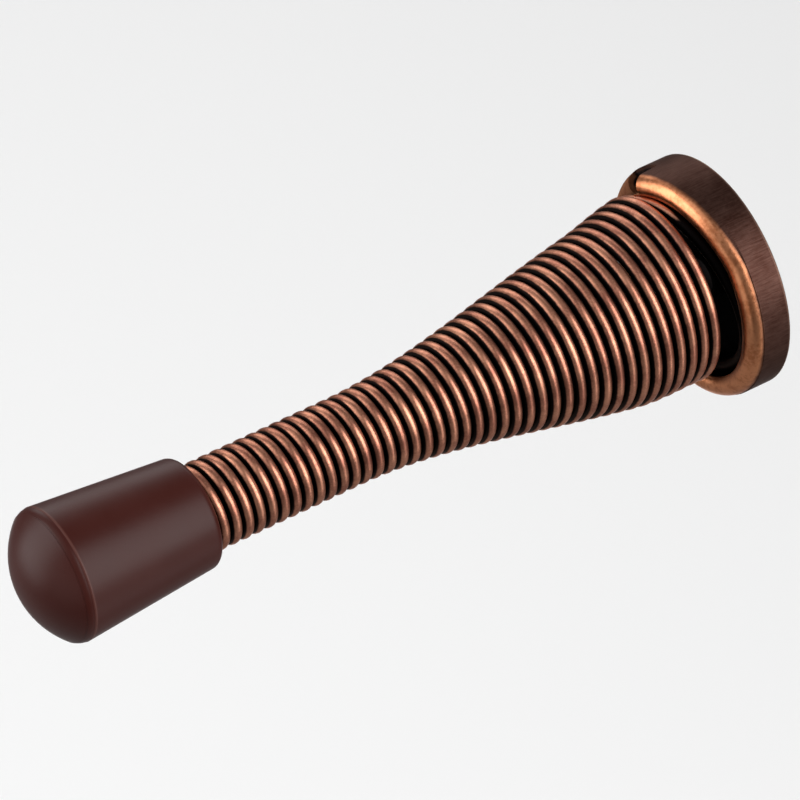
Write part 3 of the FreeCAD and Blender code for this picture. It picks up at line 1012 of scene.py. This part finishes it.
@dataclass
class BumperTip:
    """Moulded rubber tip: tapered side, rounded mouth, parting line and a low dome."""

    mouth: float
    length: float = 18.8 * MM
    grip: float = 8.0 * MM
    bore: float = 4.48 * MM
    bore_edge: float = 0.15 * MM
    mouth_wall: float = 1.16 * MM
    mouth_edge: float = 0.8 * MM
    taper: float = math.radians(4.82)
    dome_height: float = 3.75 * MM
    dome_edge: float = 1.19 * MM
    parting_depth: float = 0.05 * MM
    parting_angle: float = 8.0
    axis_gap: float = 1e-9
    steps: int = 192
    floor_pieces: int = 6
    edge_pieces: int = 8
    side_pieces: int = 24
    dome_edge_pieces: int = 10
    dome_pieces: int = 30

    def outline(self) -> list[Point2]:
        """Section of the tip.

        Returns:
            The points from the middle of the bore's end round the outside to the dome's top.
        """
        mouth_radius = self.bore + self.mouth_wall
        edge_centre = (mouth_radius - self.mouth_edge * math.cos(self.taper), self.mouth_edge)
        side_start = (mouth_radius, self.mouth_edge * (1.0 - math.sin(self.taper)))
        crease_height = self.length - self.dome_height
        crease = mouth_radius + (crease_height - side_start[1]) * math.tan(self.taper)
        nose = (crease - self.dome_edge, crease_height)
        squares = self.dome_height ** 2 + nose[0] ** 2 - self.dome_edge ** 2
        crown = squares / (2 * (self.dome_height - self.dome_edge))
        crown_angle = math.degrees(math.atan2(crown - self.dome_height, nose[0]))
        top = (self.axis_gap, self.length - crown)
        low = self.parting_depth
        inner = self.dome_edge - low
        end, lead = (self.bore, self.grip), (self.bore, self.bore_edge)
        edge_end = -math.degrees(self.taper)
        section = [
            *straight((0.0, self.grip), end, self.floor_pieces),
            *straight(end, lead, self.edge_pieces),
            (self.bore + self.bore_edge, 0.0),
            *arc(edge_centre, self.mouth_edge, -90, edge_end, self.edge_pieces),
            *straight(side_start, (crease, crease_height - 2 * low), self.side_pieces),
            (crease - low, crease_height),
            *arc(nose, inner, self.parting_angle, crown_angle, self.dome_edge_pieces),
            *arc(top, crown, crown_angle, 90, self.dome_pieces),
        ]
        return [(r, h + self.mouth) for r, h in section]

    def build(self) -> bpy.types.Object:
        """Model the tip."""
        return turn_outline("bumper_tip_moulded", self.outline(), self.steps, closed=False)

    def dress(self, piece: bpy.types.Object) -> None:
        """Give the tip its finish."""
        crease = self.mouth + self.length - self.dome_height
        put_on(piece, RubberFinish(crease).make(), "bumper_tip")


class LampRole(Enum):
    """What each softbox does."""

    KEY = "key_softbox"
    LOW = "low_strip"
    FRONT = "front_softbox"
    SIDE = "side_softbox"
    OVERHEAD = "overhead_softbox"
    BACK = "back_softbox"
    BACKDROP = "backdrop_softbox"


@dataclass(frozen=True)
class Softbox:
    """A square or oblong area lamp: its role, direction, distance, width, height and watts."""

    role: LampRole
    towards: Triple
    distance: float
    width: float
    height: float
    watts: float

    def place(self, target: Vector) -> None:
        """Add the lamp.

        Args:
            target: point that the lamp faces.
        """
        lamp = bpy.data.lights.new(self.role.value, "AREA")
        lamp.shape = "RECTANGLE"
        lamp.size = self.width
        lamp.size_y = self.height
        lamp.energy = self.watts
        stand = bpy.data.objects.new(self.role.value, lamp)
        bpy.context.collection.objects.link(stand)
        direction = Vector(self.towards).normalized()
        stand.location = target + direction * self.distance
        stand.rotation_euler = direction.to_track_quat("Z", "Y").to_euler()


@dataclass
class Studio:
    """Grey floor, sheet of pale paper, soft lamps and the camera of the photograph."""

    floor_drop: float = 450.0 * MM
    floor_size: float = 6.0
    floor_colour: Colour = (0.30, 0.30, 0.30)
    paper_size: float = 0.46
    paper_lift: float = 0.3 * MM
    paper_colour: Colour = (0.90, 0.90, 0.90)
    matt: float = 0.9
    ambient: float = 0.21
    azimuth: float = math.radians(56.01)
    elevation: float = math.radians(43.32)
    sensor: float = 36.0
    focal_pixels: float = 7000.0
    image_pixels: float = 800.0
    base_right: float = 30.758 * MM
    base_down: float = -12.754 * MM
    base_away: float = 678.277 * MM
    nearest: float = 0.01
    farthest: float = 50.0
    lamps: tuple[Softbox, ...] = (
        Softbox(LampRole.KEY, (0.76, 0.41, 0.51), 0.80, 0.56, 0.96, 7.4),
        Softbox(LampRole.LOW, (0.80, 0.41, -0.42), 0.50, 0.16, 0.36, 0.24),
        Softbox(LampRole.OVERHEAD, (-0.30, -0.55, 0.80), 0.70, 0.70, 0.70, 1.25),
        Softbox(LampRole.FRONT, (-0.53, -0.80, 0.18), 0.70, 0.56, 0.80, 4.4),
        Softbox(LampRole.SIDE, (0.33, -0.94, -0.06), 0.70, 0.50, 0.50, 0.55),
        Softbox(LampRole.BACK, (-0.82, 0.41, 0.40), 0.70, 0.70, 0.50, 0.37),
    )
    backdrop_lamp: Softbox = Softbox(
        LampRole.BACKDROP, (-0.45, 0.0, 1.0), 0.66, 0.60, 0.60, 1.63
    )

    def lay(self, name: str, size: float, middle: Vector, colour: Colour) -> None:
        """Add a matt square of the studio.

        Args:
            name: name of the square.
            size: length of its sides.
            middle: where its middle lies.
            colour: its colour.
        """
        deselect_all()
        bpy.ops.mesh.primitive_plane_add(size=size, location=middle)
        square = bpy.context.object
        square.name = name
        finish = NodeKit(name).surface(
            Base_Color=(*colour, 1.0), Roughness=self.matt, Specular_IOR_Level=0.0
        )
        square.data.materials.append(finish)

    def behind(self, target: Vector) -> Vector:
        """Point of the floor that the camera sees behind a target."""
        back = self.camera_axes()[2]
        return target - back * ((target.z + self.floor_drop) / back.z)

    def lay_floor(self, target: Vector) -> None:
        """Add the floor, well below the stop, and the sheet of pale paper behind it.

        Args:
            target: middle of the stop.
        """
        below = Vector((0.0, 0.0, -self.floor_drop))
        self.lay("studio_floor", self.floor_size, below, self.floor_colour)
        middle = self.behind(target) + Vector((0.0, 0.0, self.paper_lift))
        self.lay("pale_paper", self.paper_size, middle, self.paper_colour)

    def light(self, target: Vector) -> None:
        """Set the world's even light and place the lamps.

        Args:
            target: middle of the stop.
        """
        world = bpy.data.worlds.new("even_light")
        bpy.context.scene.world = world
        world.use_nodes = True
        background = world.node_tree.nodes["Background"]
        background.inputs["Color"].default_value = (1.0, 1.0, 1.0, 1.0)
        background.inputs["Strength"].default_value = self.ambient
        for lamp in self.lamps:
            lamp.place(target)
        self.backdrop_lamp.place(self.behind(target))

    def camera_axes(self) -> tuple[Vector, Vector, Vector]:
        """Axes of the photograph's camera.

        Returns:
            Directions to the right, up and back towards the camera.
        """
        azimuth, elevation = self.azimuth, self.elevation
        right = Vector((math.cos(azimuth), math.sin(azimuth), 0.0))
        level = Vector((math.sin(azimuth), -math.cos(azimuth), 0.0))
        back = level * math.cos(elevation) + Vector((0.0, 0.0, math.sin(elevation)))
        return right, back.cross(right), back

    def aim_camera(self) -> None:
        """Set the camera so that the base's back lies where the photograph has it."""
        right, up, back = self.camera_axes()
        data = bpy.data.cameras.new("camera")
        data.sensor_width = self.sensor
        data.lens = self.focal_pixels / self.image_pixels * self.sensor
        data.clip_start = self.nearest
        data.clip_end = self.farthest
        camera = bpy.data.objects.new("camera", data)
        bpy.context.collection.objects.link(camera)
        place = -self.base_right * right + self.base_down * up + self.base_away * back
        turned = Matrix((right, up, back)).transposed().to_4x4()
        camera.matrix_world = Matrix.Translation(place) @ turned
        bpy.context.scene.camera = camera


def main() -> None:
    """Build, dress and light the stop."""
    logging.basicConfig(level=logging.INFO, format="%(name)s: %(message)s")
    mouth = -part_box("bumper_tip")[1].y
    cup = BaseCup()
    tip = BumperTip(mouth=mouth)
    spring = CoilSpring(cup=cup, mouth=mouth, grip=tip.grip)
    for part in (cup, spring, tip):
        part.dress(part.build())
    studio = Studio()
    middle = (CAD_BOX[0] + CAD_BOX[1]) / 2
    studio.lay_floor(middle)
    studio.light(middle)
    studio.aim_camera()
    bpy.context.scene.view_settings.view_transform = "Standard"


if __name__ == "__main__":
    main()
